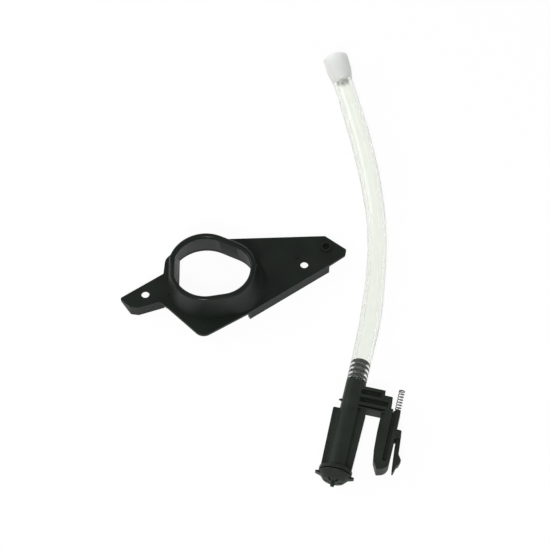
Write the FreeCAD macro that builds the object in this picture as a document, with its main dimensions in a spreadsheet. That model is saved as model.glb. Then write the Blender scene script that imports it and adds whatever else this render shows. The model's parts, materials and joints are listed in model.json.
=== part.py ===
import FreeCAD, Part
import math
import os
import re
import Sketcher
from types import SimpleNamespace

Vector = FreeCAD.Vector
Rotation = FreeCAD.Rotation
Placement = FreeCAD.Placement

# Siphon pick-up with its filler collar bracket, laid out on a table, in millimetres.
# The siphon's pieces are drawn upright, with Z along the suction tube towards the hose and
# X towards the guide leg, and one placement lays them down. The bracket is drawn as it lies.
SIZES = {
    # Collar bracket: plate, skirts under its edges, and the collar that stands on it.
    "plate_top": 9.0,
    "plate_thick": 2.0,
    "skirt_thick": 2.0,
    "collar_height": 19.0,
    "collar_wall": 3.0,
    "collar_radius": 20.5,
    "flat_depth": 0.9,
    "nose_radius": 16.0,
    "nose_reach": 11.1,
    "near_share": 0.7111111,
    "round_flare": 2.2,
    "flat_flare": 1.0,
    "nose_flare": 4.0,
    "nose_shift": 2.0,
    "round_draft": 2.9,
    "flat_draft": 1.8,
    "nose_draft": 2.8,
    "lip_round": 1.2,
    "hole_radius": 2.25,
    "hole_left_x": -33.1,
    "hole_left_y": -7.2,
    "hole_right_x": 53.3,
    "hole_right_y": 10.9,
    "boss_x": 65.3,
    "boss_y": 21.7,
    "boss_radius": 3.2,
    "boss_rise": 0.9,
    "recess_radius": 1.8,
    "recess_depth": 2.2,
    "peg_radius": 2.4,
    "stud_x": 49.2,
    "stud_y": 15.2,
    "stud_radius": 0.75,
    "stud_rise": 0.6,
    "bracket_x": -29.8,
    "bracket_y": 45.7,
    # Siphon frame: barbed spout, tube, ribbed arm and guide leg in one moulding.
    "siphon_x": 50.8,
    "siphon_y": -13.7,
    "siphon_lean": 13.07,
    "tube_radius": 5.4,
    "tube_length": 17.0,
    "flow_radius": 2.4,
    "barb_clearance": 0.05,
    "barb_depth": 0.65,
    "barb_pitch": 2.8,
    "barb_start": 1.2,
    "barb_end": 12.5,
    "fin_reach": 1.5,
    "spigot_radius": 4.4,
    "spigot_length": 8.0,
    "ring_drop": 4.0,
    "ring_section": 0.48,
    "arm_top": 3.1,
    "arm_depth": 8.0,
    "arm_foot": 15.8,
    "arm_floor": 0.8,
    "web_thick": 2.2,
    "shelf_thick": 1.8,
    "shelf_pitch": 4.5,
    "arm_reach": 16.4,
    "step_drop": 2.8,
    "step_wall": 1.6,
    "end_wall": 1.6,
    "leg_inner": 16.6,
    "leg_width": 9.9,
    "leg_top": 12.6,
    "leg_length": 35.5,
    "leg_depth": 9.0,
    "leg_bevel": 2.9,
    "foot_height": 22.0,
    "foot_inset": 4.1,
    "foot_round": 5.0,
    "channel_wall": 0.8,
    "channel_width": 3.2,
    "channel_lip": 2.8,
    "channel_back": 2.6,
    "channel_floor": 5.6,
    "slot_width": 2.1,
    # Valve sleeve, foot cap and what they hold.
    "sleeve_radius": 5.7,
    "sleeve_length": 36.2,
    "wing_top": 8.8,
    "wing_foot": 8.1,
    "wing_thick": 4.2,
    "flange_radius": 8.8,
    "flange_thick": 1.9,
    "chamber_drop": 3.0,
    "socket_radius": 6.2,
    "socket_length": 2.4,
    "seal_drop": 1.35,
    "seal_section": 0.42,
    "twist_clearance": 0.08,
    "fit_clearance": 0.02,
    "cap_radius": 8.6,
    "cap_gap": 0.5,
    "cap_side": 0.8,
    "cap_wall": 1.3,
    "dome_height": 2.44,
    "lug_rise": 1.7,
    "lug_width": 3.4,
    "nib_radius": 1.1,
    "nib_length": 2.3,
    "inlet_width": 1.1,
    "strainer_thick": 0.5,
    "strainer_hole": 0.5,
    "seat_height": 3.0,
    "seat_hole": 1.9,
    "ball_radius": 2.5,
    "ball_lift": 2.0,
    "ball_play": 0.38,
    "cage_wall": 0.7,
    "cage_top": 1.2,
    "window_width": 1.8,
    # Latch lever, slider and springs on the guide leg.
    "pivot_rise": 1.6,
    "pivot_drop": 13.0,
    "pin_radius": 0.7,
    "lever_width": 4.2,
    "lever_clearance": 0.15,
    "ear_reach": 1.2,
    "ear_above": 1.9,
    "ear_below": 2.7,
    "slider_clearance": 0.1,
    "peg_length": 2.0,
    "spring_set": 2.1,
    "spring_radius": 1.45,
    "spring_wire": 0.25,
    "spring_turns": 12.0,
    "spring_length": 13.4,
    "coil_wire": 0.17,
    "coil_turns": 4.0,
    # Hose and the pieces on its far end.
    "hose_radius": 5.5,
    "hose_bore": 4.0,
    "hose_start": 0.6,
    "cuff_step": 0.5,
    "cuff_wall": 1.4,
    "cuff_length": 18.0,
    "cuff_grip": 2.0,
    "stub_grip": 5.0,
    "stub_sink": 1.0,
    "stub_bore": 3.2,
}
# Sizes and places that follow from those above, as formulas. Heights on the siphon are
# measured down from the shoulder where the spout leaves the tube.
FITTED = {
    "rim_foot": "plate_top + collar_height - lip_round",
    "collar_flat": "collar_radius - flat_depth",
    "near_fullness": "(collar_radius - nose_radius) * near_share",
    "barb_radius": "hose_bore - barb_clearance",
    "barb_core": "barb_radius - barb_depth",
    "spigot_end": "tube_length + spigot_length",
    "ring_height": "tube_length + ring_drop",
    "ring_centre": "spigot_radius - ring_section",
    "leg_outer": "leg_inner + leg_width",
    "leg_bottom": "leg_top + leg_length",
    "channel_right": "leg_outer - channel_wall",
    "channel_left": "channel_right - channel_width",
    "channel_front": "channel_lip - leg_depth / 2",
    "channel_end": "leg_bottom - channel_floor",
    "step_reach": "channel_left - step_wall",
    "step_top": "arm_top + step_drop",
    "sleeve_top": "tube_length + fit_clearance",
    "sleeve_end": "tube_length + sleeve_length",
    "sleeve_bore": "spigot_radius + fit_clearance",
    "flange_top": "sleeve_end - flange_thick",
    "socket_end": "sleeve_end + socket_length",
    "seal_height": "sleeve_end + seal_drop",
    "seat_top": "socket_end - seat_height",
    "ball_rest": "seat_top - sqrt(ball_radius ^ 2 - seat_hole ^ 2) - fit_clearance",
    "cage_stop": "ball_rest - ball_radius - ball_lift - fit_clearance",
    "chamber_radius": "ball_radius + ball_play + cage_wall + fit_clearance",
    "chamber_top": "spigot_end + chamber_drop",
    "cap_bore": "socket_radius + twist_clearance",
    "cap_top": "sleeve_end + cap_gap",
    "cap_ledge": "socket_end + strainer_thick + 3 * fit_clearance",
    "cap_end": "cap_ledge + dome_height",
    "lug_reach": "cap_radius + lug_rise",
    "seal_centre": "cap_bore - fit_clearance - seal_section",
    "pivot_x": "leg_outer + pivot_rise",
    "pivot_z": "leg_top + pivot_drop",
    "coil_radius": "pin_radius + coil_wire + twist_clearance",
    "slider_front": "channel_front + slider_clearance",
    "slider_back": "channel_back - slider_clearance",
    "slider_middle": "(slider_front + slider_back) / 2",
    "spring_x": "channel_left + spring_set",
    "cuff_bore": "hose_radius + cuff_step",
    "cuff_radius": "cuff_bore + cuff_wall",
    "cuff_mouth": "cuff_length - cuff_grip",
}

document = FreeCAD.newDocument("siphon_pickup")
sheet = document.addObject("Spreadsheet::Sheet", "sizes")
for row, (name, rule) in enumerate({**SIZES, **FITTED}.items(), start=1):
    sheet.set(f"A{row}", name)
    sheet.set(f"B{row}", f"={rule}")
    sheet.setAlias(f"B{row}", name)
document.recompute()
v = SimpleNamespace(**{name: float(sheet.get(name)) for name in {**SIZES, **FITTED}})

SUB_PARTS = []


def bind(target, setting, formula):
    """Ties a setting to the sheet: each long word of the formula is one of its names."""
    target.setExpression(setting, re.sub(r"[a-z_]{3,}", r"sizes.\g<0>", formula))


def new_body(node, placement):
    body = document.addObject("PartDesign::Body", node)
    body.Label = node
    body.Placement = placement
    SUB_PARTS.append(body)
    return body


def sketch_on(body, name, plane, height="0"):
    """A sketch on one of the body's planes, moved along its normal by a formula or a number."""
    sketch = body.newObject("Sketcher::SketchObject", name)
    base = [item for item in body.Origin.OriginFeatures if item.Role == plane][0]
    sketch.AttachmentSupport = [(base, "")]
    sketch.MapMode = "FlatFace"
    if isinstance(height, str):
        bind(sketch, "AttachmentOffset.Base.z", height)
    else:
        sketch.AttachmentOffset = Placement(Vector(0, 0, height), Rotation())
    return sketch


def corner(before, at, after, radius):
    """The start, middle and end of the arc that rounds a corner."""
    back = (before - at).normalize()
    ahead = (after - at).normalize()
    half = back.getAngle(ahead) / 2
    reach = radius / math.tan(half)
    centre = at + (back + ahead).normalize() * (radius / math.sin(half))
    middle = centre + (at - centre).normalize() * radius
    return at + back * reach, middle, at + ahead * reach


def draw_outline(sketch, points):
    """A closed outline of straight edges. A point's third number rounds its corner."""
    spots = [Vector(point[0], point[1], 0) for point in points]
    corners = []
    for index, point in enumerate(points):
        spot = spots[index]
        if len(point) > 2:
            after = spots[(index + 1) % len(spots)]
            corners.append(corner(spots[index - 1], spot, after, point[2]))
        else:
            corners.append((spot, None, spot))
    edges = []
    for index, (start, middle, end) in enumerate(corners):
        if middle is not None:
            edges.append(Part.Arc(start, middle, end))
        edges.append(Part.LineSegment(end, corners[(index + 1) % len(corners)][0]))
    sketch.addGeometry(edges, False)


def draw_circle(sketch, x, y, radius):
    """A circle whose radius is a formula of the sheet's names."""
    edge = sketch.addGeometry(Part.Circle(Vector(x, y, 0), Vector(0, 0, 1), 1.0), False)
    rule = sketch.addConstraint(Sketcher.Constraint("Radius", edge, 1.0))
    bind(sketch, f"Constraints[{rule}]", radius)


def pad(body, name, sketch, length, symmetric=False):
    feature = body.newObject("PartDesign::Pad", name)
    feature.Profile = sketch
    bind(feature, "Length", length)
    if symmetric:
        feature.SideType = "Symmetric"
    body.Tip = feature
    return feature


def pocket(body, name, sketch, length, symmetric=False):
    feature = body.newObject("PartDesign::Pocket", name)
    feature.Profile = sketch
    bind(feature, "Length", length)
    if symmetric:
        feature.SideType = "Symmetric"
    body.Tip = feature
    return feature


def turned(body, name, points, cut=False):
    """A profile of (radius, height) points turned about the body's Z axis."""
    sketch = sketch_on(body, name + "_profile", "XZ_Plane")
    draw_outline(sketch, points)
    kind = "PartDesign::Groove" if cut else "PartDesign::Revolution"
    feature = body.newObject(kind, name)
    feature.Profile = sketch
    feature.ReferenceAxis = (sketch, ["V_Axis"])
    feature.Angle = 360.0
    body.Tip = feature
    return feature


def around(body, name, feature, count):
    """Copies of a feature, evenly spaced about the body's Z axis."""
    axis = [item for item in body.Origin.OriginFeatures if item.Role == "Z_Axis"][0]
    pattern = body.newObject("PartDesign::PolarPattern", name)
    pattern.Originals = [feature]
    pattern.Axis = (axis, [""])
    pattern.Angle = 360.0
    pattern.Occurrences = count
    body.Tip = pattern
    return pattern


def edges_where(feature, test):
    """Names of the feature's edges whose middle passes the test."""
    names = []
    for number, edge in enumerate(feature.Shape.Edges, start=1):
        middle = edge.valueAt((edge.FirstParameter + edge.LastParameter) / 2)
        if test(middle, edge):
            names.append(f"Edge{number}")
    return names


def fillet(body, name, names, radius):
    """Rounds the named edges of the body's last feature."""
    rounded = body.Tip
    feature = body.newObject("PartDesign::Fillet", name)
    feature.Base = (rounded, names)
    bind(feature, "Radius", radius)
    body.Tip = feature


# Bracket. Its outline runs clockwise from the tab's corner, past the collar's far side.
bracket_place = Placement(Vector(v.bracket_x, v.bracket_y, 0), Rotation())
TAB_NOTCH = (-25.4, -11.9)
TAB_EDGE = [(-22.9, -11.1), (-36.8, -15.6), (-41.2, -15.0), (-46.4, -10.43)]
NEAR_EDGE = [(67.1, 10.6), (23.8, -18.0)]
FAR_EDGE = [(1.0, 26.3), (64.8, 28.5)]
PLATE_OUTLINE = [
    (-47.0, -9.9, 1.0), (-23.6, 5.2), (-22.8, 14.0, 6.0), (-14.0, 23.2, 8.0), (*FAR_EDGE[0], 8.0),
    (*FAR_EDGE[1], 1.5), (76.5, 20.1, 1.2), (75.7, 16.7, 1.2), (*NEAR_EDGE[0], 0.5), (*NEAR_EDGE[1], 0.5),
    (-1.9, -33.1, 6.0), (-20.7, -15.3, 1.5), (*TAB_NOTCH, 1.5), (*TAB_EDGE[1], 3.0), (*TAB_EDGE[2], 1.5),
]
# Between its three skirts the underside is hollowed right out past the plate's edge.
PAST_LOBE = [(26.0, -40.0), (-24.0, -40.0), (-26.0, -13.1), TAB_NOTCH]
PAST_TAB = [(-52.0, -12.0), (-52.0, 32.0)]
PAST_TIP = [(80.0, 32.0), (80.0, 4.0)]


def inside_skirt(points, lap):
    """The hollow's outline round a skirt that runs along the points, left of its inner face.

    At both ends it goes that far past the skirt's outer face."""
    spots = [Vector(x, y, 0) for x, y in points]
    sides = []
    for start, end in zip(spots, spots[1:]):
        along = (end - start).normalize()
        sides.append(Vector(along.y, -along.x, 0))
    inner = [spots[0] - sides[0] * lap, spots[0] + sides[0] * v.skirt_thick]
    for index in range(1, len(spots) - 1):
        across = (sides[index - 1] + sides[index]).normalize()
        inner.append(spots[index] + across * (v.skirt_thick / across.dot(sides[index])))
    inner += [spots[-1] + sides[-1] * v.skirt_thick, spots[-1] - sides[-1] * lap]
    return [(spot.x, spot.y) for spot in inner]


# The collar's outline at its rim, and what it gains by its foot, outside and inside: the radius
# of its round side, the distance to its flat, the radius of its nose and how far out that is.
COLLAR_RIM = (v.collar_radius, v.collar_flat, v.nose_radius, v.nose_reach)
OUTER_SPREAD = (v.round_flare, v.flat_flare, v.nose_flare, v.nose_shift)
INNER_SPREAD = (v.round_draft, -v.flat_draft, v.nose_draft, 0.0)


def draw_collar(sketch, inset, spread, share):
    """The drop-shaped outline, set in all round, with a share of the spread at its foot.

    The nose is fuller on the near side at the rim, and even by the foot."""
    radius, flat, nose, centre = (size + gain * share for size, gain in zip(COLLAR_RIM, spread))
    radius -= inset
    flat -= inset
    nose -= inset
    fuller = v.near_fullness * (1 - share)

    def half_nose(nose_radius, reach, side):
        """Both ends of the straight run from the round side, and the middle of the nose's arc."""
        turn = math.acos((radius - nose_radius) / reach)
        spots = []
        for from_x, size, angle in (
            (0, radius, turn), (reach, nose_radius, turn), (reach, nose_radius, turn / 2),
        ):
            spots.append(Vector(from_x + size * math.cos(angle), side * size * math.sin(angle), 0))
        return spots

    shoulder, cheek, nose_side = half_nose(nose, centre, 1)
    near_shoulder, near_cheek, near_nose_side = half_nose(nose + fuller, centre - fuller, -1)
    tip = Vector(centre + nose, 0, 0)
    start = Vector(-flat, math.sqrt(radius ** 2 - flat ** 2), 0)
    near_start = Vector(-flat, -start.y, 0)
    sketch.addGeometry([
        Part.LineSegment(near_start, start),
        Part.Arc(start, Vector(0, radius, 0), shoulder),
        Part.LineSegment(shoulder, cheek),
        Part.Arc(cheek, nose_side, tip),
        Part.Arc(tip, near_nose_side, near_cheek),
        Part.LineSegment(near_cheek, near_shoulder),
        Part.Arc(near_shoulder, Vector(0, -radius, 0), near_start),
    ], False)


def collar_loft(body, kind, name, spread, sections, ruled):
    """A loft through collar outlines, each given by its height, inset and share of the spread."""
    sketches = []
    for number, (height, inset, share) in enumerate(sections):
        sketch = sketch_on(body, f"{name}_section_{number}", "XY_Plane", height)
        draw_collar(sketch, inset, spread, share)
        sketches.append(sketch)
    loft = body.newObject("PartDesign::" + kind, name)
    loft.Profile = sketches[0]
    loft.Sections = sketches[1:]
    loft.Ruled = ruled
    body.Tip = loft


def make_collar():
    """The collar, seated on the plate. It widens evenly inside, and sweeps out at its foot outside.

    Its lip is rounded in short steps, outwards and inwards."""
    body = new_body("bracket_collar", bracket_place)
    for kind, names, spread, sweep, inset, side in (
        ("AdditiveLoft", ("collar", "lip"), OUTER_SPREAD, 0.65, 0.0, 1),
        ("SubtractiveLoft", ("inside", "mouth"), INNER_SPREAD, 0.0, v.collar_wall, -1),
    ):
        wall = []
        for depth in (0.0, 0.45, 0.8, 1.0):
            height = f"rim_foot - (rim_foot - plate_top) * {depth}"
            wall.append((height, inset, (1 - sweep) * depth + sweep * depth ** 3))
        lip = []
        for degrees in (0, 30, 60, 90):
            turn = math.radians(degrees)
            height = f"rim_foot + lip_round * {math.sin(turn):.4f}"
            lip.append((height, inset + side * v.lip_round * (1 - math.cos(turn)), 0.0))
        collar_loft(body, kind, names[0], spread, wall, ruled=False)
        collar_loft(body, kind, names[1], spread, lip, ruled=True)


def make_plate():
    body = new_body("bracket_plate", bracket_place)
    outline = sketch_on(body, "plate_outline", "XY_Plane")
    draw_outline(outline, PLATE_OUTLINE)
    pad(body, "plate", outline, "plate_top")
    hollow = sketch_on(body, "hollow_outline", "XY_Plane", "plate_top - plate_thick")
    draw_outline(hollow, inside_skirt(NEAR_EDGE, 1.0) + PAST_LOBE + inside_skirt(TAB_EDGE, 0.0)
                 + PAST_TAB + inside_skirt(FAR_EDGE, 1.0) + PAST_TIP)
    pocket(body, "hollow", hollow, "plate_top - plate_thick")
    opening = sketch_on(body, "opening_outline", "XY_Plane", "plate_top")
    draw_collar(opening, v.collar_wall, INNER_SPREAD, 1.0)
    pocket(body, "opening", opening, "plate_thick")

    # The tab's skirt rises to nothing at the tab's corner.
    rise = sketch_on(body, "skirt_rise", "XZ_Plane")
    under = v.plate_top - v.plate_thick
    draw_outline(rise, [
        (TAB_EDGE[2][0], -1), (TAB_EDGE[2][0], 0), (TAB_EDGE[3][0], under),
        (PAST_TAB[0][0], under), (PAST_TAB[0][0], -1),
    ])
    pocket(body, "skirt_end", rise, "collar_radius * 4", symmetric=True)

    boss = sketch_on(body, "boss_circle", "XY_Plane", "plate_top - plate_thick")
    draw_circle(boss, v.boss_x, v.boss_y, "boss_radius")
    pad(body, "boss", boss, "plate_thick + boss_rise")
    stud = sketch_on(body, "stud_circle", "XY_Plane", "plate_top - plate_thick")
    draw_circle(stud, v.stud_x, v.stud_y, "stud_radius")
    pad(body, "stud", stud, "plate_thick + stud_rise")
    peg = sketch_on(body, "peg_circle", "XY_Plane", "plate_thick")
    draw_circle(peg, v.boss_x, v.boss_y, "peg_radius")
    pad(body, "peg", peg, "plate_top - plate_thick")
    recess = sketch_on(body, "recess_circle", "XY_Plane", "plate_top + boss_rise")
    draw_circle(recess, v.boss_x, v.boss_y, "recess_radius")
    pocket(body, "recess", recess, "recess_depth")
    holes = sketch_on(body, "hole_circles", "XY_Plane", "plate_top")
    draw_circle(holes, v.hole_left_x, v.hole_left_y, "hole_radius")
    draw_circle(holes, v.hole_right_x, v.hole_right_y, "hole_radius")
    pocket(body, "holes", holes, "plate_thick")


# The siphon lies on its back: X stays towards the leg, Z points along the table to the hose.
lean = Rotation(Vector(0, 0, 1), -v.siphon_lean) * Rotation(Vector(1, 0, 0), -90)
siphon_place = Placement(Vector(v.siphon_x, v.siphon_y, v.flange_radius), lean)


def make_leg(body):
    """The guide leg: tapered at its foot, with a sprung slider's channel and the latch's ears."""
    leg = sketch_on(body, "leg_outline", "XZ_Plane")
    foot = -v.leg_bottom
    inset = v.foot_inset
    draw_outline(leg, [
        (v.leg_inner, -v.leg_top - 0.4), (v.leg_outer, -v.leg_top),
        (v.leg_outer - 0.2, foot + inset * 0.4, v.foot_round), (v.leg_inner + inset, foot, 0.8),
        (v.leg_inner + inset * 0.32, foot + v.foot_height * 0.24, 2.0),
        (v.leg_inner + inset * 0.1, foot + v.foot_height * 0.55, 8.0), (v.leg_inner, foot + v.foot_height),
    ])
    pad(body, "leg", leg, "leg_depth", symmetric=True)
    ears = sketch_on(body, "ear_outline", "XZ_Plane")
    ear_top = -v.pivot_z + v.ear_above
    ear_foot = -v.pivot_z - v.ear_below
    ear_tip = v.pivot_x + v.ear_reach
    ear_root = v.leg_outer - v.channel_wall / 2
    draw_outline(ears, [
        (ear_root, ear_top), (ear_tip, ear_top, 0.9), (ear_tip, ear_foot + v.ear_reach, 0.9),
        (ear_tip - v.ear_reach, ear_foot), (ear_root, ear_foot),
    ])
    draw_circle(ears, v.pivot_x, -v.pivot_z, "pin_radius")
    pad(body, "ears", ears, "leg_depth", symmetric=True)

    # Both long corners on the tube's side are cut back at 45 degrees.
    bevels = sketch_on(body, "bevel_outlines", "XY_Plane")
    half = v.leg_depth / 2
    for side in (-1, 1):
        draw_outline(bevels, [
            (v.leg_inner - 1, side * (half + 1)), (v.leg_inner + v.leg_bevel + 1, side * (half + 1)),
            (v.leg_inner - 1, side * (half - v.leg_bevel - 1)),
        ])
    pocket(body, "bevels", bevels, "leg_bottom + 1")

    # The gap between the ears takes the lever, and the channel takes the slider.
    jaw = sketch_on(body, "jaw_outline", "XZ_Plane")
    draw_outline(jaw, [
        (v.leg_outer, ear_top + 1), (ear_tip + 1, ear_top + 1),
        (ear_tip + 1, ear_foot - 1), (v.leg_outer, ear_foot - 1),
    ])
    pocket(body, "jaw", jaw, "lever_width + 2 * lever_clearance", symmetric=True)
    channel = sketch_on(body, "channel_outline", "XY_Plane", "1 - leg_top")
    draw_outline(channel, [
        (v.channel_left, v.channel_front), (v.channel_right, v.channel_front),
        (v.channel_right, v.channel_back), (v.channel_left, v.channel_back),
    ])
    pocket(body, "channel", channel, "channel_end - leg_top + 1")
    slot = sketch_on(body, "slot_outline", "XZ_Plane", "leg_depth / 2 + 1")
    slot_right = v.channel_left + v.slot_width
    end_round = v.slot_width * 0.45
    draw_outline(slot, [
        (v.channel_left, -v.leg_top + 1), (slot_right, -v.leg_top + 1),
        (slot_right, -v.channel_end, end_round), (v.channel_left, -v.channel_end, end_round),
    ])
    pocket(body, "slot", slot, "channel_lip + 1.5")


def make_arm(body):
    """A thin web with shelves on both sides, from the tube to the leg."""
    web = sketch_on(body, "web_outline", "XZ_Plane")
    draw_outline(web, [
        (0, -v.arm_top), (v.arm_reach, -v.arm_top), (v.arm_reach, -v.step_top), (v.step_reach, -v.step_top),
        (v.step_reach, -v.arm_foot), (0, -v.arm_foot),
    ])
    pad(body, "web", web, "web_thick", symmetric=True)
    step_foot = v.arm_top + v.shelf_pitch + v.shelf_thick
    bars = [
        ("top_shelf", v.arm_reach, v.arm_top, v.arm_top + v.shelf_thick),
        ("middle_shelf", v.step_reach, v.arm_top + v.shelf_pitch, step_foot),
        ("low_shelf", v.step_reach, v.arm_top + 2 * v.shelf_pitch, step_foot + v.shelf_pitch),
        ("arm_floor", v.step_reach, v.arm_foot - v.arm_floor, v.arm_foot),
    ]
    for name, reach, top, bottom in bars:
        strip = sketch_on(body, name + "_outline", "XZ_Plane")
        draw_outline(strip, [(0, -top), (reach, -top), (reach, -bottom), (0, -bottom)])
        pad(body, name, strip, "arm_depth", symmetric=True)
    step = sketch_on(body, "step_outline", "XZ_Plane")
    draw_outline(step, [
        (v.arm_reach - v.end_wall, -v.arm_top), (v.arm_reach, -v.arm_top), (v.arm_reach, -v.step_top, 0.6),
        (v.step_reach, -v.step_top, 0.6), (v.step_reach + 0.5, -v.leg_top - 1),
        (v.step_reach - v.end_wall, -v.leg_top - 1), (v.step_reach - v.end_wall, -step_foot),
        (v.arm_reach - v.end_wall, -step_foot),
    ])
    pad(body, "step", step, "arm_depth", symmetric=True)


def make_frame():
    body = new_body("siphon_frame", siphon_place)
    make_leg(body)
    make_arm(body)
    profile = [(0, v.barb_end), (v.barb_core - 0.5, v.barb_end)]
    for number in range(int((v.barb_end - v.barb_start) / v.barb_pitch)):
        top = v.barb_end - number * v.barb_pitch
        step = top - v.barb_pitch * 0.75
        profile += [
            (v.barb_core, top - 0.3), (v.barb_radius, step + 0.3),
            (v.barb_radius, step), (v.barb_core, step),
        ]
    groove_floor = v.spigot_radius - 2 * v.ring_section - v.fit_clearance
    groove_half = v.ring_section * 1.25
    profile += [
        (v.barb_core, 0), (v.tube_radius, 0, 0.5), (v.tube_radius, -v.tube_length),
        (v.spigot_radius, -v.tube_length), (v.spigot_radius, -v.ring_height + groove_half),
        (groove_floor, -v.ring_height + groove_half), (groove_floor, -v.ring_height - groove_half),
        (v.spigot_radius, -v.ring_height - groove_half), (v.spigot_radius, -v.spigot_end, 0.4),
        (0, -v.spigot_end),
    ]
    turned(body, "tube", profile)
    fin = sketch_on(body, "fin_outline", "XZ_Plane")
    fin_height = v.tube_length * 0.7
    draw_outline(fin, [
        (1 - v.tube_radius, 0.9 - fin_height), (-v.tube_radius - v.fin_reach, -fin_height),
        (1 - v.tube_radius, -0.8 - fin_height),
    ])
    pad(body, "fin", fin, "shelf_thick", symmetric=True)
    bore = sketch_on(body, "bore_circle", "XY_Plane", "barb_end + 1")
    draw_circle(bore, 0, 0, "flow_radius")
    pocket(body, "flow_bore", bore, "barb_end + spigot_end + 2")


def make_ring(node, radius, section, drop):
    """A round seal, that far down the siphon. Its radii are formulas of the sheet's names."""
    ring = document.addObject("Part::Torus", node)
    ring.Label = node
    bind(ring, "Radius1", radius)
    bind(ring, "Radius2", section)
    ring.Placement = siphon_place * Placement(Vector(0, 0, -drop), Rotation())
    SUB_PARTS.append(ring)


def make_sleeve():
    """The sleeve under the tube: winged, flanged, and turned down to a socket for the cap."""
    body = new_body("valve_sleeve", siphon_place)
    groove_floor = v.seal_centre - v.seal_section - v.fit_clearance
    groove_half = v.seal_section * 1.25
    turned(body, "sleeve", [
        (0, -v.sleeve_top), (v.sleeve_radius, -v.sleeve_top, 0.3), (v.sleeve_radius, 1.2 - v.flange_top),
        (v.flange_radius, -v.flange_top, 0.3), (v.flange_radius, -v.sleeve_end, 0.3),
        (v.socket_radius, -v.sleeve_end), (v.socket_radius, groove_half - v.seal_height),
        (groove_floor, groove_half - v.seal_height), (groove_floor, -groove_half - v.seal_height),
        (v.socket_radius, -groove_half - v.seal_height), (v.socket_radius, -v.socket_end, 0.3),
        (0, -v.socket_end),
    ])
    wings = sketch_on(body, "wing_outline", "XZ_Plane")
    wing_start = -v.sleeve_top - 0.4
    wing_end = -v.flange_top - v.flange_thick / 4
    draw_outline(wings, [
        (-v.wing_top, wing_start, 0.8), (v.wing_top, wing_start, 0.8),
        (v.wing_foot, wing_end), (-v.wing_foot, wing_end),
    ])
    pad(body, "wings", wings, "wing_thick", symmetric=True)
    document.recompute()

    def in_valley(middle, edge):
        tall = edge.BoundBox.ZLength > v.sleeve_length / 2
        return tall and abs(middle.x) < v.sleeve_radius + 0.2

    fillet(body, "valleys", edges_where(body.Tip, in_valley), "wing_thick * 0.2")
    turned(body, "inside", [
        (0, 0), (v.sleeve_bore, 0), (v.sleeve_bore, -v.spigot_end - 0.5),
        (v.chamber_radius, -v.chamber_top), (v.chamber_radius, -v.seat_top), (v.sleeve_bore, -v.seat_top),
        (v.sleeve_bore, -v.socket_end - 1), (0, -v.socket_end - 1),
    ], cut=True)


def make_seat():
    """The ball's seat, pressed into the socket's end, with a chamfered way in."""
    body = new_body("valve_seat", siphon_place)
    turned(body, "seat", [
        (v.seat_hole, -v.seat_top), (v.spigot_radius, -v.seat_top), (v.spigot_radius, -v.socket_end),
        (v.seat_hole + 0.8, -v.socket_end), (v.seat_hole, 1 - v.socket_end),
    ])


def make_ball():
    ball = document.addObject("Part::Sphere", "check_ball")
    ball.Label = "check_ball"
    bind(ball, "Radius", "ball_radius")
    ball.Placement = siphon_place * Placement(Vector(0, 0, -v.ball_rest), Rotation())
    SUB_PARTS.append(ball)


def make_cage():
    """A windowed cup over the ball, which stops its lift and lets the water by."""
    body = new_body("ball_cage", siphon_place)
    outer = v.chamber_radius - v.fit_clearance
    cage_end = v.cage_top - v.cage_stop
    turned(body, "cage", [
        (0, cage_end), (outer, cage_end), (outer, -v.seat_top),
        (outer - v.cage_wall, -v.seat_top), (outer - v.cage_wall, -v.cage_stop), (0, -v.cage_stop),
    ])
    window = sketch_on(body, "window_outline", "XY_Plane", "cage_top - cage_stop + 1")
    half = v.window_width / 2
    draw_outline(window, [
        (1.0, -half), (v.chamber_radius + 1, -half), (v.chamber_radius + 1, half), (1.0, half),
    ])
    cut = pocket(body, "window", window, "ball_radius * 2")
    around(body, "windows", cut, 3)


def make_cap():
    """The foot cap: a blunt cone with two lugs to turn it by, a nib and six inlet slots."""
    body = new_body("foot_cap", siphon_place)
    shoulder = v.cap_radius * 0.65
    crown = v.cap_radius * 0.35
    slope_top = 0.7 - v.cap_end
    turned(body, "cap", [
        (v.cap_bore, -v.cap_top), (v.cap_radius, -v.cap_top, 0.3),
        (v.cap_radius, -v.cap_top - v.cap_side, 0.8), (shoulder, slope_top, 1.5),
        (crown, -v.cap_end), (v.nib_radius, -v.cap_end),
        (v.nib_radius, -v.cap_end - v.nib_length, 0.3), (0, -v.cap_end - v.nib_length),
        (0, v.cap_wall - v.cap_end), (crown, v.cap_wall - v.cap_end),
        (shoulder - v.cap_wall, v.cap_wall + slope_top), (v.cap_bore - 0.7, -v.cap_ledge),
        (v.cap_bore, -v.cap_ledge),
    ])
    lug = sketch_on(body, "lug_outline", "XZ_Plane")
    lug_root = -v.cap_bore - 0.5
    draw_outline(lug, [
        (-v.lug_reach, -v.cap_top - 0.6, 0.2), (lug_root, -v.cap_top - 0.1),
        (lug_root, -v.cap_top - 2.2), (-v.lug_reach, -v.cap_top - 1.2, 0.2),
    ])
    lugs = pad(body, "lug", lug, "lug_width", symmetric=True)
    around(body, "lugs", lugs, 2)
    inlet = sketch_on(body, "inlet_outline", "XY_Plane", "0 - cap_ledge")
    half = v.inlet_width / 2
    inlet_start = v.nib_radius * 2
    inlet_reach = shoulder - 0.5
    draw_outline(inlet, [
        (inlet_start, -half), (inlet_reach, -half), (inlet_reach, half), (inlet_start, half),
    ])
    slot = pocket(body, "inlet", inlet, "dome_height + 1")
    around(body, "inlets", slot, 6)


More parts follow.
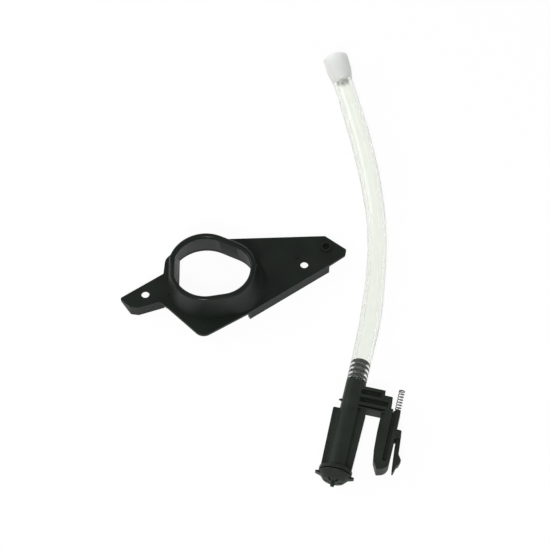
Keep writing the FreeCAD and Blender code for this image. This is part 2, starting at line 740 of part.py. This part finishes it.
def make_strainer():
    """A perforated disc held between the socket's end and the cap's ledge."""
    body = new_body("inlet_strainer", siphon_place)
    top = v.socket_end + v.fit_clearance
    disc = sketch_on(body, "disc_circle", "XY_Plane", -top - v.strainer_thick)
    draw_circle(disc, 0, 0, "socket_radius")
    pad(body, "disc", disc, "strainer_thick")
    hole = sketch_on(body, "mesh_circles", "XY_Plane", -top)
    draw_circle(hole, v.socket_radius * 0.55, 0, "strainer_hole")
    draw_circle(hole, v.socket_radius * 0.28, 0, "strainer_hole")
    mesh = pocket(body, "mesh", hole, "strainer_thick")
    around(body, "mesh_ring", mesh, 8)


def make_lever():
    """The latch: a thin hooked lever in the jaw, drawn round its pivot, with a nest for its spring."""
    body = new_body("latch_lever", siphon_place)
    lever_side = [
        (-1.3, 1.6, 0.7), (1.3, 0.7, 0.9), (2.1, -10.6, 1.5), (4.0, -13.6, 0.5), (3.2, -16.4, 0.6),
        (2.2, -17.4), (1.3, -21.2, 0.5), (0.5, -21.5, 0.3), (0.1, -18.2, 2.0), (-0.7, -8.0, 3.0),
        (-0.9, -2.3, 1.0),
    ]
    side = sketch_on(body, "lever_outline", "XZ_Plane")
    draw_outline(side, [(v.pivot_x + x, -v.pivot_z + z, *rounding) for x, z, *rounding in lever_side])
    pad(body, "lever", side, "lever_width", symmetric=True)
    eye = sketch_on(body, "eye_circle", "XZ_Plane")
    draw_circle(eye, v.pivot_x, -v.pivot_z, "pin_radius + twist_clearance / 2")
    pocket(body, "eye", eye, "lever_width + 1", symmetric=True)
    nest = sketch_on(body, "spring_nest_outline", "XZ_Plane")
    nest_radius = v.coil_radius + v.coil_wire + v.twist_clearance
    draw_outline(nest, [
        (v.leg_outer, -v.pivot_z + 3), (v.pivot_x + nest_radius, -v.pivot_z + 3),
        (v.pivot_x + nest_radius, -v.pivot_z - nest_radius), (v.leg_outer, -v.pivot_z - nest_radius),
    ])
    pocket(body, "spring_nest", nest, "coil_wire * 2 * (coil_turns + 1) + lever_clearance", symmetric=True)


def make_pin():
    pin = document.addObject("Part::Cylinder", "latch_pin")
    pin.Label = "latch_pin"
    bind(pin, "Radius", "pin_radius")
    bind(pin, "Height", "leg_depth")
    turn = Rotation(Vector(1, 0, 0), 90)
    pin.Placement = siphon_place * Placement(Vector(v.pivot_x, v.leg_depth / 2, -v.pivot_z), turn)
    SUB_PARTS.append(pin)


def make_coil(node, radius, wire, turns, length, place):
    """A round wire wound into an open helix along its own Z axis, placed on the siphon."""
    path = Part.makeHelix(length / turns, length, radius)
    start = Part.Wire([Part.makeCircle(wire, Vector(radius, 0, 0), Vector(0, 1, 0))])
    coil = document.addObject("Part::Feature", node)
    coil.Shape = Part.Wire(path.Edges).makePipeShell([start], True, True)
    coil.Label = node
    coil.Placement = siphon_place * place
    SUB_PARTS.append(coil)


def make_slider():
    """The bar that slides in the leg's channel, with a peg on top for its spring."""
    body = new_body("slider", siphon_place)
    left = v.channel_left + v.slider_clearance
    right = v.channel_right - v.slider_clearance
    bar = sketch_on(body, "bar_outline", "XY_Plane", "slider_clearance - channel_end")
    draw_outline(bar, [
        (left, v.slider_front), (right, v.slider_front), (right, v.slider_back), (left, v.slider_back),
    ])
    pad(body, "bar", bar, "channel_end - slider_clearance - leg_top")
    peg = sketch_on(body, "spring_peg_circle", "XY_Plane", "0 - leg_top")
    draw_circle(peg, v.spring_x, v.slider_middle, "spring_radius - spring_wire - twist_clearance")
    pad(body, "spring_peg", peg, "peg_length")


make_plate()
make_collar()
make_frame()
make_ring("spigot_oring", "ring_centre", "ring_section", v.ring_height)
make_sleeve()
make_ring("cap_seal", "seal_centre", "seal_section", v.seal_height)
make_seat()
make_ball()
make_cage()
make_cap()
make_strainer()
make_lever()
make_pin()
coil_length = v.coil_turns * 2 * v.coil_wire * 1.05
coil_place = Placement(Vector(v.pivot_x, coil_length / 2, -v.pivot_z), Rotation(Vector(1, 0, 0), 90))
make_coil("latch_spring", v.coil_radius, v.coil_wire, v.coil_turns, coil_length, coil_place)
make_slider()
spring_place = Placement(Vector(v.spring_x, v.slider_middle, v.spring_wire - v.leg_top), Rotation())
spring_rise = v.spring_length - 2 * v.spring_wire
make_coil("return_spring", v.spring_radius, v.spring_wire, v.spring_turns, spring_rise, spring_place)

# The hose leaves the spout in line with it, comes down to the table and lies in a long bow.
spout = siphon_place.multVec(Vector(0, 0, v.hose_start))
HOSE_ROUTE = [
    (spout.x, spout.y, spout.z),
    (55.0, 4.5, 8.8),
    (58.9, 22.5, 6.2),
    (61.6, 42.0, 5.5),
    (63.6, 62.0, 5.5),
    (63.9, 84.0, 5.5),
    (61.5, 107.0, 5.5),
    (57.4, 131.0, 5.5),
    (51.8, 155.0, 5.5),
    (46.4, 175.0, 7.0),
]


def smooth_path(points):
    """Straight runs joined by tangent arcs as large as the two runs allow."""
    spots = [Vector(*point) for point in points]
    edges = []
    last = spots[0]
    for before, at, after in zip(spots, spots[1:], spots[2:]):
        turn = (at - before).getAngle(after - at)
        radius = 0.45 * min((at - before).Length, (after - at).Length) / math.tan(turn / 2)
        start, middle, end = corner(before, at, after, radius)
        edges.append(Part.makeLine(last, start))
        edges.append(Part.Arc(start, middle, end).toShape())
        print(f"hose bend radius {radius:.1f} mm")
        last = end
    edges.append(Part.makeLine(last, spots[-1]))
    return Part.Wire(edges)


def make_hose():
    path = smooth_path(HOSE_ROUTE)
    start = Vector(*HOSE_ROUTE[0])
    along = Vector(*HOSE_ROUTE[1]) - start
    tubes = []
    for radius in (v.hose_radius, v.hose_bore):
        ring = Part.Wire([Part.makeCircle(radius, start, along)])
        tubes.append(path.makePipeShell([ring], True, False))
    hose = document.addObject("Part::Feature", "suction_hose")
    hose.Shape = tubes[0].cut(tubes[1])
    hose.Label = "suction_hose"
    SUB_PARTS.append(hose)
    drawn = math.pi * (v.hose_radius ** 2 - v.hose_bore ** 2) * path.Length
    print(f"hose length {path.Length:.1f} mm, volume ratio {hose.Shape.Volume / drawn:.4f}")


# The far end: a wider soft cuff over the hose, and a clear stub that plugs into both.
hose_end = Vector(*HOSE_ROUTE[-1])
end_way = (hose_end - Vector(*HOSE_ROUTE[-2])).normalize()
end_place = Placement(hose_end, Rotation(Vector(0, 0, 1), end_way))


def make_cuff():
    body = new_body("hose_cuff", end_place)
    grip_bore = v.hose_radius + v.fit_clearance
    turned(body, "cuff", [
        (grip_bore, -v.cuff_grip), (grip_bore + 0.6, -v.cuff_grip, 0.2),
        (grip_bore + 0.9, v.cuff_grip, 4.0), (v.cuff_radius - 0.1, v.cuff_length / 3, 4.0),
        (v.cuff_radius, v.cuff_mouth, 0.6),
        (v.cuff_bore, v.cuff_mouth), (v.cuff_bore, v.fit_clearance), (grip_bore, v.fit_clearance),
    ])


def make_connector():
    body = new_body("hose_end_connector", end_place)
    plug = v.hose_bore - v.fit_clearance
    collar = v.cuff_bore - v.fit_clearance
    mouth = v.cuff_mouth - v.stub_sink
    turned(body, "connector", [
        (v.stub_bore, -v.stub_grip), (plug, -v.stub_grip, 0.3), (plug, 2 * v.fit_clearance),
        (collar, 2 * v.fit_clearance), (collar, mouth, 0.5), (v.stub_bore, mouth),
    ])


make_hose()
make_cuff()
make_connector()
document.recompute()

os.makedirs("parts", exist_ok=True)
for item in document.Objects:
    if "Invalid" in item.State or "Error" in item.State:
        raise RuntimeError(f"{item.Name} has failed: {item.getStatusString()}")
for sub_part in SUB_PARTS:
    shape = sub_part.Shape
    if shape.isNull() or not shape.isValid():
        raise RuntimeError(f"{sub_part.Label} has no valid shape")
for sub_part in SUB_PARTS:
    shape = sub_part.Shape
    shape.exportStep(f"parts/{sub_part.Label}.step")
    print(f"{sub_part.Label}: {len(shape.Solids)} solid, {shape.Volume:.1f} mm3, {len(shape.Faces)} faces")
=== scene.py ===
import json
import math

import bpy
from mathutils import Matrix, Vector


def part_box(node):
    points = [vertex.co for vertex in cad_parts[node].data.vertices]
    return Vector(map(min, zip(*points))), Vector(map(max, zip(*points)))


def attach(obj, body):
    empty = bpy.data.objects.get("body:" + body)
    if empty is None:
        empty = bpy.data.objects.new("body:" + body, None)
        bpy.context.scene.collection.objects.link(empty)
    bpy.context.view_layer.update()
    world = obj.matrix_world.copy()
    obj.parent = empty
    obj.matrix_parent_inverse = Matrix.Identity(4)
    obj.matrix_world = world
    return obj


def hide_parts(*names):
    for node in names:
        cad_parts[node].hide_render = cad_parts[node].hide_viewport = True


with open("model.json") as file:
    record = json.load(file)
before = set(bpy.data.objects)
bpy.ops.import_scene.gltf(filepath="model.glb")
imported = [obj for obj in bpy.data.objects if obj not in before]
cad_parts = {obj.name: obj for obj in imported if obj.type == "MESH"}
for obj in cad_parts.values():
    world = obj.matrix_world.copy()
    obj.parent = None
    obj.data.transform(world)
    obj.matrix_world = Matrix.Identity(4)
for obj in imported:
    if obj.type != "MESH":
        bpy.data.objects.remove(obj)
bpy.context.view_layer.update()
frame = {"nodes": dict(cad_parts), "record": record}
nodes = frame["nodes"]

# Camera. The two pieces lie on a white table and are photographed from in front and well
# above, with a long lens, so that the hose hardly narrows towards its far end.
camera_lens = bpy.data.cameras.new("camera")
camera_lens.lens = 140
camera_lens.sensor_width = 36
camera = bpy.data.objects.new("camera", camera_lens)
camera.location = (0.0075, -0.4794, 1.0482)
camera.rotation_euler = (math.radians(27), 0, 0)
bpy.context.scene.collection.objects.link(camera)
bpy.context.scene.camera = camera

# Suction hose. Soft silicone tube, 8 mm inside and 11 mm outside, extruded in long lengths and
# cut off. It is pushed over the spout's barbs and lies on the table in one long, lazy bow.
HOSE_ROUTE = [
    (0.050936, -0.013116, 0.0088, 0.98),
    (0.0550, 0.0045, 0.0088, 0.98),
    (0.0589, 0.0225, 0.0066, 1.06),
    (0.0616, 0.0420, 0.0057, 1.00),
    (0.0636, 0.0620, 0.0055, 0.95),
    (0.0639, 0.0840, 0.0055, 0.96),
    (0.0615, 0.1070, 0.0057, 1.03),
    (0.0574, 0.1310, 0.0059, 1.07),
    (0.0518, 0.1550, 0.0059, 1.08),
    (0.0464, 0.1750, 0.0070, 1.00),
]
HOSE_RADIUS = 0.0055
# The wall is drawn 0.4 mm thicker than the solid's, so that it closes on the barbs as it does
# when it is stretched over them.
HOSE_WALL = 0.0019
# Edges of the tubular pieces that are sharper than this stay sharp in their shading.
TUBE_EDGE = math.radians(40)

hose_line = bpy.data.curves.new("hose_line", "CURVE")
hose_line.dimensions = "3D"
hose_line.resolution_u = 20
spline = hose_line.splines.new("NURBS")
spline.points.add(len(HOSE_ROUTE) - 1)
for point, (x, y, z, swell) in zip(spline.points, HOSE_ROUTE):
    point.co = (x, y, z, 1)
    point.radius = swell
spline.order_u = 3
spline.use_endpoint_u = True
hose = bpy.data.objects.new("silicone_hose", hose_line)
bpy.context.scene.collection.objects.link(hose)
centre_line = [tuple(spot.co) for spot in bpy.data.meshes.new_from_object(hose).vertices]

hose_line.bevel_depth = HOSE_RADIUS
hose_line.bevel_resolution = 10
bpy.ops.object.select_all(action="DESELECT")
hose.select_set(True)
bpy.context.view_layer.objects.active = hose
bpy.ops.object.convert(target="MESH")
wall = hose.modifiers.new("hose_wall", "SOLIDIFY")
wall.thickness = HOSE_WALL
wall.offset = -1
wall.use_even_offset = True
bpy.ops.object.modifier_apply(modifier=wall.name)
bpy.ops.object.shade_smooth_by_angle(angle=TUBE_EDGE)


def linear(code):
    """An sRGB hex colour as linear red, green, blue and alpha."""
    shares = [int(code[start:start + 2], 16) / 255 for start in (1, 3, 5)]
    return [s / 12.92 if s <= 0.04045 else ((s + 0.055) / 1.055) ** 2.4 for s in shares] + [1.0]


def add_node(tree, kind, inputs, **settings):
    """A node with its settings. Each input is a value, or the socket that it is linked from."""
    node = tree.nodes.new(kind)
    for setting, value in settings.items():
        setattr(node, setting, value)
    for name, value in inputs.items():
        if isinstance(value, bpy.types.NodeSocket):
            tree.links.new(value, node.inputs[name])
        else:
            node.inputs[name].default_value = value
    return node


def mottled(name, scale, detail, colours, roughness, stops=(0.0, 1.0), stretch=(1.0, 1.0, 1.0), **plain):
    """A material whose colour and roughness follow one noise, between two values each.

    The noise has that many patches to the metre, and the rest is plain: the same all over."""
    material = bpy.data.materials.new(name)
    material.use_nodes = True
    tree = material.node_tree
    shader = tree.nodes["Principled BSDF"]
    for setting, value in plain.items():
        shader.inputs[setting.replace("_", " ")].default_value = value
    place = add_node(tree, "ShaderNodeTexCoord", {}).outputs["Object"]
    drawn = add_node(tree, "ShaderNodeMapping", {"Vector": place, "Scale": stretch}).outputs["Vector"]
    patches = add_node(tree, "ShaderNodeTexNoise", {"Vector": drawn, "Scale": scale, "Detail": detail})
    tint = add_node(tree, "ShaderNodeValToRGB", {"Fac": patches.outputs["Fac"]})
    for element, stop, colour in zip(tint.color_ramp.elements, stops, colours):
        element.position = stop
        element.color = linear(colour)
    tree.links.new(tint.outputs["Color"], shader.inputs["Base Color"])
    least, most = roughness
    rough = add_node(
        tree, "ShaderNodeMapRange", {"Value": patches.outputs["Fac"], "To Min": least, "To Max": most}
    )
    tree.links.new(rough.outputs["Result"], shader.inputs["Roughness"])
    return material, tree, shader, place


# Platinum-cured silicone: milky rather than clear, so that what is inside shows dim and soft.
# Cloudy patches about 9 mm long run along it, and die lines 0.8 mm apart where it is extruded.
def soft_silicone(name, colours, roughness, clear, lines):
    """Silicone between two whites, so far see-through, with die lines of that strength."""
    material, tree, shader, place = mottled(
        name, 420.0, 3.0, colours, roughness, stops=(0.3, 0.7), stretch=(1.0, 0.25, 1.0),
        IOR=1.41, Transmission_Weight=clear,
    )
    drawn = add_node(tree, "ShaderNodeMapping", {"Vector": place, "Scale": (1.0, 0.03, 1.0)})
    die = add_node(
        tree, "ShaderNodeTexNoise", {"Vector": drawn.outputs["Vector"], "Scale": 1250.0, "Detail": 2.0}
    )
    ripple = add_node(
        tree, "ShaderNodeBump", {"Height": die.outputs["Fac"], "Strength": lines, "Distance": 0.0002}
    )
    tree.links.new(ripple.outputs["Normal"], shader.inputs["Normal"])
    return material


hose.data.materials.clear()
hose.data.materials.append(
    soft_silicone("milky_silicone", ("#f8fbf5", "#fcfdf9"), (0.14, 0.22), clear=0.97, lines=0.2)
)
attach(hose, "base")
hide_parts("suction_hose")

# Hose cuff. A short sleeve of frosted moulded silicone that carries on from the hose's far end
# and widens to a rounded mouth. The clear fitting inside joins it to the hose.
end_spot = Vector(HOSE_ROUTE[-1][:3])
end_way = (end_spot - Vector(HOSE_ROUTE[-2][:3])).normalized()
CUFF_RINGS = [
    (0.0001, 0.00562), (0.0006, 0.00572), (0.0020, 0.0059), (0.0045, 0.0064), (0.0064, 0.00682),
    (0.0085, 0.00698), (0.0120, 0.00705), (0.0148, 0.00715), (0.0157, 0.00715), (0.0160, 0.00695),
    (0.0160, 0.0063), (0.0154, 0.0059), (0.0090, 0.0059), (0.0064, 0.0057), (0.0045, 0.0053),
    (0.0022, 0.0048), (0.0001, 0.0046),
]
RING_SIDES = 64


def ring_tube(name, rings, start, way):
    """A closed wall drawn out ring by ring along a line: each ring is a distance and a radius."""
    turn = Vector((0, 0, 1)).rotation_difference(way)
    first, radius = rings[0]
    bpy.ops.object.select_all(action="DESELECT")
    bpy.ops.mesh.primitive_circle_add(
        vertices=RING_SIDES, radius=radius, location=start + way * first, rotation=turn.to_euler()
    )
    piece = bpy.context.object
    piece.name = name
    bpy.ops.object.mode_set(mode="EDIT")
    bpy.ops.mesh.select_all(action="SELECT")
    for distance, wider in rings[1:]:
        bpy.ops.mesh.extrude_edges_move(
            TRANSFORM_OT_translate={"value": way * (distance - first), "orient_type": "GLOBAL"}
        )
        bpy.ops.transform.resize(value=(wider / radius,) * 3, center_override=start + way * distance)
        first, radius = distance, wider
    bpy.ops.mesh.select_all(action="DESELECT")
    bpy.ops.mesh.select_mode(type="EDGE")
    bpy.ops.mesh.select_non_manifold()
    bpy.ops.mesh.bridge_edge_loops()
    bpy.ops.mesh.select_all(action="SELECT")
    bpy.ops.mesh.normals_make_consistent(inside=False)
    bpy.ops.mesh.select_mode(type="VERT")
    bpy.ops.object.mode_set(mode="OBJECT")
    bpy.ops.object.transform_apply(location=True, rotation=True, scale=True)
    return piece


cuff = ring_tube("silicone_cuff", CUFF_RINGS, end_spot, end_way)
soft = cuff.modifiers.new("soft_form", "SUBSURF")
soft.levels = 1
soft.render_levels = 1
bpy.ops.object.modifier_apply(modifier=soft.name)
bpy.ops.object.shade_smooth()
cuff.data.materials.append(
    soft_silicone("frosted_silicone", ("#fcfdfb", "#fefffd"), (0.4, 0.5), clear=0.6, lines=0.03)
)
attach(cuff, "base")
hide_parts("hose_cuff")

# Clear fitting in the cuff. Injection-moulded polycarbonate: its spigot enters the hose, and its
# body widens as the cuff does, round a 6.4 mm bore. It has a faint haze and a trace of grey, in
# flow patches about 4 mm wide.
FITTING_RINGS = [
    (-0.0012, 0.00335), (-0.0009, 0.0035), (0.0002, 0.0035), (0.0005, 0.0043), (0.0022, 0.0046),
    (0.0045, 0.0051), (0.0064, 0.0055), (0.0090, 0.0057), (0.0146, 0.0057), (0.0150, 0.0055),
    (0.0150, 0.0032), (-0.0012, 0.0032),
]
fitting = ring_tube("clear_fitting", FITTING_RINGS, end_spot, end_way)
bpy.ops.object.shade_smooth_by_angle(angle=TUBE_EDGE)
clear_plastic, *_ = mottled(
    "clear_polycarbonate", 260.0, 2.0, ("#f8faf9", "#fdfefe"), (0.2, 0.34),
    IOR=1.585, Transmission_Weight=0.9,
)
fitting.data.materials.append(clear_plastic)
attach(fitting, "base")
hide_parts("hose_end_connector")

# Collar bracket. One injection moulding in black ABS: a flat plate with skirts under its long
# edges, two screw holes, a pegged boss at its tip, and a drop-shaped collar that stands on it.
WELD_GAP = 0.000002
FLAT_WITHIN = math.radians(0.5)
SHARP_EDGE = math.radians(35)


def one_mesh(node, name):
    """A copy of a CAD piece as one closed mesh in its place, with its flat faces whole."""
    bpy.ops.object.select_all(action="DESELECT")
    piece = bpy.data.objects.new(name, nodes[node].data.copy())
    bpy.context.scene.collection.objects.link(piece)
    piece.select_set(True)
    bpy.context.view_layer.objects.active = piece
    if piece.data.has_custom_normals:
        bpy.ops.mesh.customdata_custom_splitnormals_clear()
    bpy.ops.object.mode_set(mode="EDIT")
    bpy.ops.mesh.select_all(action="SELECT")
    bpy.ops.mesh.remove_doubles(threshold=WELD_GAP)
    bpy.ops.mesh.dissolve_limited(angle_limit=FLAT_WITHIN)
    bpy.ops.object.mode_set(mode="OBJECT")
    piece.data.materials.clear()
    return piece


def round_edges(piece, width, satin, rubbed):
    """Rounds the sharp edges to that width in the rubbed finish, and keeps the flats satin."""
    piece.data.materials.append(satin)
    piece.data.materials.append(rubbed)
    bpy.ops.object.select_all(action="DESELECT")
    piece.select_set(True)
    bpy.context.view_layer.objects.active = piece
    bpy.ops.object.shade_smooth_by_angle(angle=SHARP_EDGE)
    rounding = piece.modifiers.new("edge_rounding", "BEVEL")
    rounding.width = width
    rounding.segments = 2
    rounding.limit_method = "ANGLE"
    rounding.angle_limit = SHARP_EDGE
    rounding.harden_normals = True
    rounding.material = 1
    bpy.ops.object.modifier_apply(modifier=rounding.name)


# Black ABS from a fine-sparked mould: satin and nearly neutral, with flow marks about 12 mm wide,
# and with edges and a rim that handling has rubbed shiny. The spark grain is about 0.1 mm and is
# drawn 0.35 mm wide, or it would not show at all.
def black_moulding(name, colours, roughness, grain):
    """Black moulded plastic between two colours, with a grain that many metres wide."""
    material, tree, shader, place = mottled(
        name, 85.0, 4.0, colours, roughness, stops=(0.35, 0.7), IOR=1.54, Specular_IOR_Level=0.13
    )
    spark = add_node(tree, "ShaderNodeTexNoise", {"Vector": place, "Scale": 1 / grain, "Detail": 2.0})
    bump = add_node(
        tree, "ShaderNodeBump", {"Height": spark.outputs["Fac"], "Strength": 0.3, "Distance": 0.00005}
    )
    tree.links.new(bump.outputs["Normal"], shader.inputs["Normal"])
    return material


ABS_COLOURS = ("#161b18", "#1c221e")
ABS_GRAIN = 0.00035
satin_abs = black_moulding("black_abs_satin", ABS_COLOURS, (0.4, 0.5), ABS_GRAIN)
rubbed_abs = black_moulding("black_abs_rubbed", ABS_COLOURS, (0.16, 0.24), ABS_GRAIN)
# What lies higher than this is the collar's rim.
RIM_HEIGHT = 0.0266
bracket = one_mesh("bracket_plate", "bracket_moulding")
collar = one_mesh("bracket_collar", "collar_moulding")
joined = bracket.modifiers.new("moulded_in_one", "BOOLEAN")
joined.operation = "UNION"
joined.solver = "EXACT"
joined.object = collar
bpy.context.view_layer.objects.active = bracket
bpy.ops.object.modifier_apply(modifier=joined.name)
bpy.data.objects.remove(collar)
round_edges(bracket, 0.00045, satin_abs, rubbed_abs)
for face in bracket.data.polygons:
    if face.center.z > RIM_HEIGHT:
        face.material_index = 1
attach(bracket, "base")
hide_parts("bracket_plate", "bracket_collar")

# Siphon frame, sleeve, cap, slider and latch. Black acetal mouldings, a little smoother than
# the bracket: the frame with spout, arm and leg, and the pieces that plug and snap into it.
# The latch's pin is a plain length of the same black acetal.
ACETAL_COLOURS = ("#1f241f", "#272d28")
ACETAL_GRAIN = 0.0003
satin_acetal = black_moulding("black_acetal_satin", ACETAL_COLOURS, (0.36, 0.46), ACETAL_GRAIN)
rubbed_acetal = black_moulding("black_acetal_rubbed", ACETAL_COLOURS, (0.16, 0.24), ACETAL_GRAIN)
for node, name, width, body in (
    ("siphon_frame", "frame_moulding", 0.00022, "base"),
    ("valve_sleeve", "sleeve_moulding", 0.00025, "base"),
    ("foot_cap", "cap_moulding", 0.0002, "cap"),
    ("slider", "slider_moulding", 0.0002, "slide"),
    ("latch_lever", "lever_moulding", 0.0002, "latch"),
    ("latch_pin", "pin_moulding", 0.0001, "base"),
):
    piece = one_mesh(node, name)
    round_edges(piece, width, satin_acetal, rubbed_acetal)
    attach(piece, body)
    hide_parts(node)

# Latch spring and return spring. Drawn stainless wire, wound cold: grey, and brighter and duller
# by turns every half millimetre, as the die has smeared it. The return spring has eight open
# turns and a closed one at each end, and stands round the peg on the slider.
spring_wire, *_ = mottled(
    "drawn_stainless_wire", 2200.0, 2.0, ("#5e5e5c", "#7e7e7b"), (0.22, 0.4), Metallic=1.0
)
nodes["latch_spring"].material_slots[0].material = spring_wire

SPRING_TURNS = 8
SPRING_LENGTH = 0.0134
COIL_RADIUS = 0.00145
WIRE_RADIUS = 0.00024
WIRE_SIDES = 12
TURN_STEPS = 28
coil_end = SPRING_LENGTH / 2 - WIRE_RADIUS
bpy.ops.object.select_all(action="DESELECT")
bpy.ops.mesh.primitive_circle_add(
    vertices=WIRE_SIDES, radius=WIRE_RADIUS, location=(COIL_RADIUS, 0, -coil_end),
    rotation=(math.radians(90), 0, 0),
)
spring = bpy.context.object
spring.name = "spring_coil"
bpy.ops.object.transform_apply(location=True, rotation=True, scale=True)
winding = spring.modifiers.new("winding", "SCREW")
winding.iterations = SPRING_TURNS
winding.screw_offset = 2 * coil_end / SPRING_TURNS
winding.steps = TURN_STEPS
winding.render_steps = TURN_STEPS
bpy.ops.object.modifier_apply(modifier=winding.name)
bpy.ops.object.mode_set(mode="EDIT")
bpy.ops.mesh.select_all(action="SELECT")
bpy.ops.mesh.fill_holes(sides=0)
bpy.ops.mesh.select_all(action="SELECT")
bpy.ops.mesh.normals_make_consistent(inside=False)
for height in (-coil_end, coil_end):
    bpy.ops.mesh.primitive_torus_add(
        major_radius=COIL_RADIUS, minor_radius=WIRE_RADIUS, major_segments=TURN_STEPS,
        minor_segments=WIRE_SIDES, location=(0, 0, height),
    )
bpy.ops.object.mode_set(mode="OBJECT")
joints = frame["record"]["behaviour"]["joints"]
slide_way = next(Vector(joint["axis"]) for joint in joints if joint["name"] == "slider_travel")
low, high = (Vector(corner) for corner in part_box("return_spring"))
spring.rotation_euler = Vector((0, 0, 1)).rotation_difference(slide_way).to_euler()
spring.location = (low + high) / 2
bpy.ops.object.transform_apply(location=True, rotation=True, scale=True)
bpy.ops.object.shade_smooth_by_angle(angle=math.radians(50))
spring.data.materials.append(spring_wire)
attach(spring, "slide")
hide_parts("return_spring")

# Check ball and inlet strainer. Stainless steel: a lapped ball, and a disc stamped from sheet
# with its holes punched, ground flat. The grinding is finer than shows, and its uneven shine is
# drawn 0.6 mm wide.
ground_steel, *_ = mottled(
    "ground_stainless_steel", 1600.0, 3.0, ("#a9aaa9", "#c9cac8"), (0.18, 0.34), Metallic=1.0
)
nodes["check_ball"].material_slots[0].material = ground_steel
nodes["inlet_strainer"].material_slots[0].material = ground_steel

# Valve seat and ball cage. Natural white polypropylene, moulded: slightly waxy and warm, with
# flow patches about 3 mm wide.
natural, *_ = mottled(
    "natural_polypropylene", 300.0, 3.0, ("#dcdcd4", "#e9e9e2"), (0.36, 0.5),
    IOR=1.49, Subsurface_Weight=0.15, Subsurface_Scale=0.001,
)
nodes["valve_seat"].material_slots[0].material = natural
nodes["ball_cage"].material_slots[0].material = natural

# Spigot and cap seals. Nitrile rubber rings, compression moulded: dull and dark, with a trace of
# the white dust that new seals are packed in, in flecks about 1 mm wide.
nitrile, *_ = mottled(
    "nitrile_rubber", 900.0, 4.0, ("#161616", "#3a3a39"), (0.6, 0.85), stops=(0.5, 0.8),
    IOR=1.5, Specular_IOR_Level=0.3,
)
nodes["spigot_oring"].material_slots[0].material = nitrile
nodes["cap_seal"].material_slots[0].material = nitrile

# Table, room and lamps. A white table that washes out to the white of the page and keeps a
# faint shadow, in a white room with a dim ceiling, with one large soft lamp on the left and a
# small keen one beside the camera.
bpy.ops.object.select_all(action="DESELECT")
bpy.ops.mesh.primitive_plane_add(size=12, location=(0, 0, -0.0001))
table = bpy.context.object
table.name = "table"
paper = bpy.data.materials.new("white_paper")
paper.use_nodes = True
tree = paper.node_tree
tree.nodes.clear()


def seen_directly(tree):
    """1 for rays from the camera and those mirrored or let through by the object, else 0."""
    ray = add_node(tree, "ShaderNodeLightPath", {})
    mirrored = add_node(
        tree, "ShaderNodeMath",
        {0: ray.outputs["Is Glossy Ray"], 1: ray.outputs["Is Transmission Ray"]}, operation="ADD",
    )
    seen = add_node(
        tree, "ShaderNodeMath", {0: ray.outputs["Is Camera Ray"], 1: mirrored.outputs[0]}, operation="ADD",
        use_clamp=True,
    )
    return seen.outputs[0]


def mirrored_only(tree):
    """1 for rays that gloss mirrors, else 0. A refracted ray counts as both kinds."""
    ray = add_node(tree, "ShaderNodeLightPath", {})
    mirrored = add_node(
        tree, "ShaderNodeMath",
        {0: ray.outputs["Is Glossy Ray"], 1: ray.outputs["Is Transmission Ray"]}, operation="SUBTRACT",
        use_clamp=True,
    )
    return mirrored.outputs[0]


# How far the table is washed out for the camera, and for gloss, which mirrors the shade on it.
CAMERA_WASH = 0.95
GLOSS_WASH = 0.3
WHITE = (1, 1, 1, 1)
matt = add_node(tree, "ShaderNodeBsdfDiffuse", {"Color": linear("#fafafa")})
white = add_node(tree, "ShaderNodeEmission", {"Color": WHITE, "Strength": 1.0})
share = add_node(
    tree, "ShaderNodeMath", {0: mirrored_only(tree), 1: GLOSS_WASH - CAMERA_WASH, 2: CAMERA_WASH},
    operation="MULTIPLY_ADD",
)
washed = add_node(
    tree, "ShaderNodeMixShader", {0: share.outputs[0], 1: matt.outputs[0], 2: white.outputs[0]}
)
chosen = add_node(
    tree, "ShaderNodeMixShader", {0: seen_directly(tree), 1: matt.outputs[0], 2: washed.outputs[0]}
)
add_node(tree, "ShaderNodeOutputMaterial", {"Surface": chosen.outputs[0]})
table.data.materials.append(paper)

ROOM_LIGHT = 0.5
CEILING_LIGHT = 0.45
room = bpy.data.worlds.new("pale_room")
room.use_nodes = True
tree = room.node_tree
tree.nodes.clear()
light = add_node(tree, "ShaderNodeBackground", {"Color": WHITE, "Strength": ROOM_LIGHT})
backdrop = add_node(tree, "ShaderNodeBackground", {"Color": WHITE, "Strength": 1.0})
chosen = add_node(
    tree, "ShaderNodeMixShader", {0: seen_directly(tree), 1: light.outputs[0], 2: backdrop.outputs[0]}
)
# Gloss mirrors the room as it is: white walls down to the table, and a dim ceiling.
direction = add_node(tree, "ShaderNodeTexCoord", {}).outputs["Generated"]
way = add_node(tree, "ShaderNodeSeparateXYZ", {0: direction})
height = add_node(
    tree, "ShaderNodeMapRange",
    {"Value": way.outputs["Z"], "From Min": 0.25, "From Max": 0.7, "To Min": 1.0, "To Max": CEILING_LIGHT},
    interpolation_type="SMOOTHSTEP",
)
walls = add_node(tree, "ShaderNodeBackground", {"Color": WHITE, "Strength": height.outputs["Result"]})
seen = add_node(
    tree, "ShaderNodeMixShader", {0: mirrored_only(tree), 1: chosen.outputs[0], 2: walls.outputs[0]}
)
add_node(tree, "ShaderNodeOutputWorld", {"Surface": seen.outputs[0]})
bpy.context.scene.world = room

for name, spot, size, power in (
    ("left_lamp", (-1.0, 0.3, 0.75), 0.7, 5.0),
    ("front_lamp", (-0.15, -0.75, 1.05), 0.18, 8.0),
):
    lamp = bpy.data.lights.new(name, "AREA")
    lamp.shape = "SQUARE"
    lamp.size = size
    lamp.energy = power
    stand = bpy.data.objects.new(name, lamp)
    stand.location = spot
    stand.rotation_euler = (Vector((0, 0.05, 0)) - Vector(spot)).to_track_quat("-Z", "Y").to_euler()
    bpy.context.scene.collection.objects.link(stand)

bpy.context.scene.view_settings.view_transform = "Standard"
